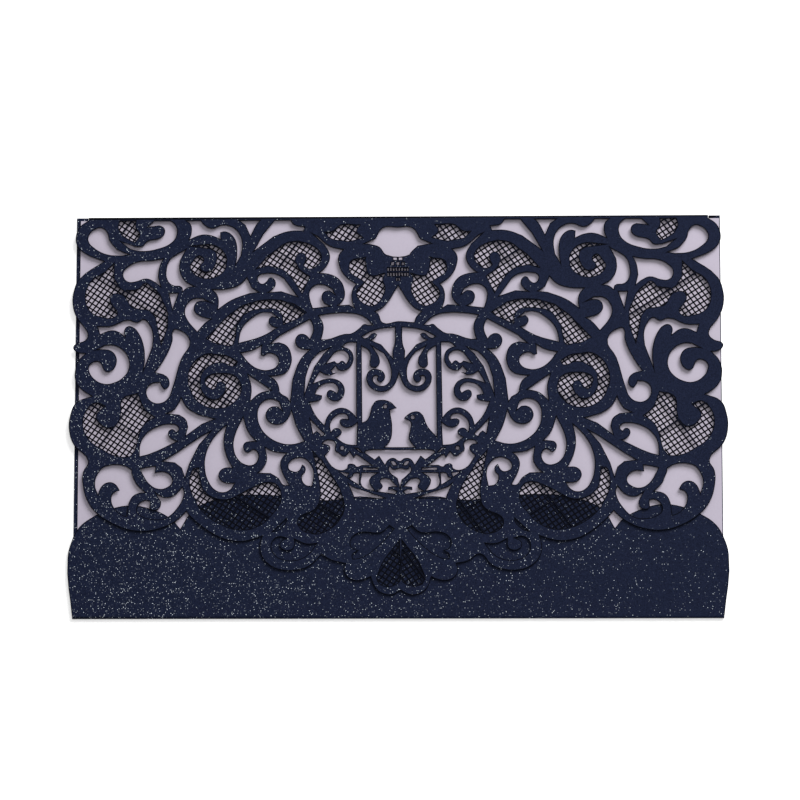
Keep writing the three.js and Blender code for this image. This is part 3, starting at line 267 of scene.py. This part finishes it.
# The folded sheet itself: the back panel and its two folds are the solid's own, and the lace flap and
# the pocket are cut again along the solid's outlines as smooth curves, since the laser leaves no flats.
flap_z = 0.0019
pocket_z = 0.00125
card_thickness = 0.00035
card_finish = 0
burnt_and_shade_finish = 1

# The solid carries every eighth strand of the two families that cross in the windows of the lace.
solid_strand_every = 8
solid_strand_width = 0.0005
shortest_strand_side = 0.0002
strand_families = ((math.radians(36.4), 0.00143), (math.radians(-57.7), 0.001485))

# An outline keeps its corner at a sharp turn and beside a pointed tip, and a long edge, or one beside
# the fold, stays straight. The rest becomes smooth curves, drawn in millimetres.
sharp_turn = math.radians(75)
tip_turn = math.radians(140)
smooth_turn = math.radians(35)
longest_curved_edge = 0.02
fold_margin = 0.0003
curve_steps = 4
drawing_scale = 1000

# The burnt line beside each cut, and how far round the top fold the sheet starts to take the burnt
# colour as painted shade.
lip_half_width = 0.00014
lip_inset = 0.0001
lip_flatness = 0.35
lip_sunk = 0.00001
fold_shade = 0.00045

# How closely places on the solid are taken to agree.
strand_tolerance = 2e-5
sheet_tolerance = 1e-5
edge_tolerance = 1e-6
same_point = 1e-7


def outlines_at(mesh, top):
    """The outlines of the flat faces at one height, longest first, each a list of points."""
    flat = [f for f in mesh.faces if all(abs(top - v.co.z) < edge_tolerance for v in f.verts)]
    at_top = set(flat)
    following = {}
    for face in flat:
        for corner in face.loops:
            if not any(other in at_top for other in corner.edge.link_faces if other is not face):
                following.setdefault(corner.vert.index, []).append(corner.link_loop_next.vert.index)
    mesh.verts.ensure_lookup_table()
    outlines = []
    while following:
        here, outline = next(iter(following)), []
        while here in following:
            outline.append((mesh.verts[here].co.x, mesh.verts[here].co.y))
            onward = following[here].pop()
            if not following[here]:
                del following[here]
            here = onward
        outlines.append(outline)
    return sorted(outlines, key=outline_length, reverse=True)


def edges_of(outline):
    """The edges of a closed outline, each as its two ends."""
    return list(zip(outline, outline[1:] + outline[:1]))


def outline_length(outline):
    """The length of a closed outline."""
    return sum(math.dist(a, b) for a, b in edges_of(outline))


def across_strands(point, lean):
    """How far a point lies across a family of strands, from the strand through the page's middle."""
    return (point[0] - page_middle) * math.cos(lean) + point[1] * math.sin(lean)


def beside_strand(a, b, lean, pitch):
    """Whether an edge of an opening is the side of one of the solid's own strands."""
    spacing = pitch * solid_strand_every
    for point in (a, b):
        offset = across_strands(point, lean)
        distance = abs(offset - spacing * round(offset / spacing))
        if abs(distance - solid_strand_width / 2) > strand_tolerance:
            return False
    return math.dist(a, b) > shortest_strand_side


def strands_of(outline):
    """The lean and pitch of both families of strands in the half of the lace that has this outline."""
    halves = [[(half * lean, pitch) for lean, pitch in strand_families] for half in (1, -1)]
    return max(halves, key=lambda strands: strand_sides(outline, strands))


def strand_sides(outline, strands):
    """How many edges of an outline are sides of the solid's own strands."""
    return sum(beside_strand(a, b, *strand) for a, b in edges_of(outline) for strand in strands)


def is_straight(a, b, strands):
    """Whether an edge stays straight: beside a strand, along the flap's fold, or a long one."""
    along_fold = min(a[1], b[1]) > flap_fold_y - fold_margin
    is_long = math.dist(a, b) > longest_curved_edge
    return along_fold or is_long or any(beside_strand(a, b, *strand) for strand in strands)


def turn_at(before, here, after):
    """The angle by which an outline turns at one of its points."""
    first = Vector((here[0] - before[0], here[1] - before[1]))
    second = Vector((after[0] - here[0], after[1] - here[1]))
    return first.angle(second, 0)


def card_curve(name, outlines, closed=True):
    """A drawing in millimetres of outlines made smooth, but for their corners and straight runs."""
    drawing = bpy.data.curves.new(name, "CURVE")
    drawing.dimensions = "2D"
    drawing.fill_mode = "NONE"
    drawing.resolution_u = curve_steps
    for outline in outlines:
        spline = drawing.splines.new("BEZIER")
        spline.bezier_points.add(len(outline) - 1)
        spline.use_cyclic_u = closed
        strands = strands_of(outline)
        count = len(outline)
        turns = [turn_at(outline[i - 1], outline[i], outline[(i + 1) % count]) for i in range(count)]
        for i, point in enumerate(spline.bezier_points):
            before, here, after = outline[i - 1], outline[i], outline[(i + 1) % count]
            corner = turns[i] > sharp_turn or max(turns[i - 1], turns[(i + 1) % count]) > tip_turn
            corner = corner or is_straight(before, here, strands) or is_straight(here, after, strands)
            point.co = (drawing_scale * here[0], drawing_scale * here[1], 0)
            point.handle_left_type = point.handle_right_type = "VECTOR" if corner else "AUTO"
    return drawing


def made_mesh(drawing, height, finish, flattened=1):
    """A drawing as a mesh in metres at its height on the card, all in one finish."""
    shape = bpy.data.objects.new(drawing.name, drawing)
    bpy.context.scene.collection.objects.link(shape)
    shapes = bpy.context.evaluated_depsgraph_get()
    made = bpy.data.meshes.new_from_object(shape.evaluated_get(shapes))
    metre = 1 / drawing_scale
    made.transform(Matrix.Diagonal((metre, metre, metre * flattened, 1)))
    made.transform(Matrix.Translation((0, 0, height)))
    bpy.data.objects.remove(shape)
    for face in made.polygons:
        face.material_index = finish
    return made


def leave_card(sheet, cuts):
    """Deletes the outside and the openings: going inwards, each cut turns empty to card or back."""
    is_card = {}
    for edge in sheet.edges:
        if edge.is_boundary:
            is_card[edge.link_faces[0]] = frozenset(v.index for v in edge.verts) in cuts
    waiting = list(is_card)
    while waiting:
        face = waiting.pop()
        for edge in face.edges:
            at_cut = frozenset(v.index for v in edge.verts) in cuts
            for other in edge.link_faces:
                if other not in is_card:
                    is_card[other] = is_card[face] != at_cut
                    waiting.append(other)
    bmesh.ops.delete(sheet, geom=[f for f in sheet.faces if not is_card[f]], context="FACES")


whole_hull = 0


def cut_sheet(name, outlines, underside):
    """A flat sheet of card with these outlines: the first is its edge, the others its openings."""
    drawing = card_curve(name, outlines)
    rims = made_mesh(drawing, 0, card_finish)
    places = [vertex.co.to_2d() for vertex in rims.vertices]
    edges = [tuple(edge.vertices) for edge in rims.edges]
    places, edges, faces, _, origins, _ = delaunay_2d_cdt(
        places, edges, [], whole_hull, same_point, True
    )
    sheet = bmesh.new()
    corners = [sheet.verts.new((x, y, underside)) for x, y in places]
    for face in faces:
        sheet.faces.new([corners[i] for i in face])
    sheet.verts.index_update()
    leave_card(sheet, {frozenset(edge) for edge, origin in zip(edges, origins) if origin})
    raised = bmesh.ops.extrude_face_region(sheet, geom=sheet.faces[:])["geom"]
    raised = [item for item in raised if isinstance(item, bmesh.types.BMVert)]
    bmesh.ops.translate(sheet, verts=raised, vec=(0, 0, card_thickness))
    bmesh.ops.recalc_face_normals(sheet, faces=sheet.faces)
    sheet_data = bpy.data.meshes.new(name)
    sheet.to_mesh(sheet_data)
    sheet.free()
    return sheet_data


def scorched_lips(name, outlines, underside):
    """The fine raised line of burnt card along the cuts of a sheet, which its fold doesn't have."""
    outer = outlines[0]
    spans = [math.dist(a, b) for a, b in edges_of(outer)]
    after_fold = spans.index(max(spans)) + 1
    cut_edge = outer[after_fold:] + outer[:after_fold]
    lips = []
    for part, closed in (([cut_edge], False), (outlines[1:], True)):
        drawing = card_curve(name, part, closed)
        drawing.bevel_depth = drawing_scale * lip_half_width
        drawing.bevel_resolution = 0
        drawing.offset = drawing_scale * lip_inset
        height = underside + card_thickness - lip_sunk
        lips.append(made_mesh(drawing, height, burnt_and_shade_finish, lip_flatness))
    return lips


folder_mesh = bmesh.new()
folder_mesh.from_mesh(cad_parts["jacket"].data)
bmesh.ops.remove_doubles(folder_mesh, verts=folder_mesh.verts, dist=same_point)
folder_mesh.verts.index_update()
flap_outlines = outlines_at(folder_mesh, flap_z + card_thickness)
pocket_outlines = outlines_at(folder_mesh, pocket_z + card_thickness)
page_middle = (min(pocket_outlines[0])[0] + max(pocket_outlines[0])[0]) / 2
flap_fold_y = max(y for _, y in flap_outlines[0])
pocket_fold_y = min(y for _, y in pocket_outlines[0])


def in_cut_sheet(face):
    """Whether a face of the solid belongs to its flap or its pocket, short of their folds."""
    places = [vertex.co for vertex in face.verts]
    lowest, highest = min(p.z for p in places), max(p.z for p in places)
    in_flap = lowest > flap_z - sheet_tolerance
    in_flap = in_flap and max(p.y for p in places) < flap_fold_y + edge_tolerance
    in_pocket = lowest > pocket_z - sheet_tolerance
    in_pocket = in_pocket and highest < pocket_z + card_thickness + sheet_tolerance
    in_pocket = in_pocket and min(p.y for p in places) > pocket_fold_y - edge_tolerance
    return in_flap or in_pocket


cut_faces = [face for face in folder_mesh.faces if in_cut_sheet(face)]
bmesh.ops.delete(folder_mesh, geom=cut_faces, context="FACES")
for face in folder_mesh.faces:
    face.material_index = card_finish
for name, outlines, underside in (
    ("flap", flap_outlines, flap_z),
    ("pocket", pocket_outlines[:1], pocket_z),
):
    folder_mesh.from_mesh(cut_sheet(name, outlines, underside))
    for lip in scorched_lips(name, outlines, underside):
        folder_mesh.from_mesh(lip)
folder_data = bpy.data.meshes.new("folded_card")
folder_mesh.to_mesh(folder_data)
folder_mesh.free()
# Past fold_shade round the top fold, the sheet takes the burnt colour as painted shade, where the fold
# turns away from the light.
for face in folder_data.polygons:
    if face.center.y > flap_fold_y + fold_shade:
        face.material_index = burnt_and_shade_finish
folder_data.materials.append(folder_card)
folder_data.materials.append(burnt_and_shade)
folder_data.shade_smooth()
folder_data.set_sharp_from_angle(angle=smooth_turn)
folder = bpy.data.objects.new("folded_card", folder_data)
bpy.context.scene.collection.objects.link(folder)
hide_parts("jacket")
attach(folder, "root")

# The fine mesh in the lace windows: diagonal strands left standing when the laser cuts small diamonds.
# The solid folder carries every eighth strand, and these fill the gaps between them.
strand_width = 0.00044
strand_end = 0.00035
strand_thinning = (0.00003, 0.00002)
strand_heights = [card_thickness - thinning for thinning in strand_thinning]


def crossings(outline, lean, offset):
    """Where the middle line of one strand meets an opening's outline, in order along the strand."""
    found = []
    for a, b in edges_of(outline):
        from_a, from_b = across_strands(a, lean) - offset, across_strands(b, lean) - offset
        if (from_a > 0) != (from_b > 0):
            share = from_a / (from_a - from_b)
            x, y = a[0] + share * (b[0] - a[0]), a[1] + share * (b[1] - a[1])
            found.append((y * math.cos(lean) - x * math.sin(lean), x, y))
    return sorted(found)


windows = [cell for cell in flap_outlines[1:] if strand_sides(cell, strands_of(cell)) > 0]
mesh_strands = bmesh.new()
for outline in windows:
    for (lean, pitch), height in zip(strands_of(outline), strand_heights):
        offsets = [across_strands(point, lean) for point in outline]
        for step in range(math.ceil(min(offsets) / pitch), math.floor(max(offsets) / pitch) + 1):
            if step % solid_strand_every == 0:
                continue
            met = crossings(outline, lean, step * pitch)
            for start, end in zip(met[::2], met[1::2]):
                x, y = (start[1] + end[1]) / 2, (start[2] + end[2]) / 2
                middle = Matrix.Translation((x, y, flap_z + card_thickness / 2))
                turn = Matrix.Rotation(lean, 4, "Z")
                size = Matrix.Diagonal((strand_width, end[0] - start[0] + 2 * strand_end, height, 1))
                bmesh.ops.create_cube(mesh_strands, size=1, matrix=middle @ turn @ size)
mesh_data = bpy.data.meshes.new("window_mesh")
mesh_strands.to_mesh(mesh_data)
mesh_strands.free()
mesh_data.materials.append(burnt_and_shade)
window_mesh = bpy.data.objects.new("window_mesh", mesh_data)
bpy.context.scene.collection.objects.link(window_mesh)
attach(window_mesh, "root")

# With a shadow of its own, the fine mesh would darken the gaps between its strands too much.
window_mesh.visible_shadow = False

# The insert: a sheet of pale lilac pearl paper, cut a little smaller than the folder and slid
# down behind the pocket, where it lies loose.
pearl_lilac = (0.44, 0.395, 0.485, 1)
pearl_lilac_pale = (0.485, 0.44, 0.53, 1)
pearl_roughness = 0.48
pearl_gloss = 0.45
pearl_sheen = 0.05
fibre_scale = 1400
fibre_detail = 4
fibre_depth = 0.00002
fibre_strength = 0.15


def pearl_paper():
    """Smooth paper with a soft pearl shine and a faint fibre grain."""
    material = bpy.data.materials.new("pearl_paper")
    material.use_nodes = True
    nodes, links = material.node_tree.nodes, material.node_tree.links
    surface = nodes["Principled BSDF"]
    place = nodes.new("ShaderNodeTexCoord").outputs["Object"]
    fibres = nodes.new("ShaderNodeTexNoise")
    fibres.inputs["Scale"].default_value = fibre_scale
    fibres.inputs["Detail"].default_value = fibre_detail
    links.new(place, fibres.inputs["Vector"])
    paper = mixed_colour(nodes, links, fibres.outputs["Fac"], pearl_lilac, pearl_lilac_pale)
    links.new(paper, surface.inputs["Base Color"])
    bump = nodes.new("ShaderNodeBump")
    bump.inputs["Strength"].default_value = fibre_strength
    bump.inputs["Distance"].default_value = fibre_depth
    links.new(fibres.outputs["Fac"], bump.inputs["Height"])
    links.new(bump.outputs["Normal"], surface.inputs["Normal"])
    surface.inputs["Roughness"].default_value = pearl_roughness
    surface.inputs["Specular IOR Level"].default_value = pearl_gloss
    surface.inputs["Sheen Weight"].default_value = pearl_sheen
    return material


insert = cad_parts["insert_card"]
insert.data.materials.clear()
insert.data.materials.append(pearl_paper())
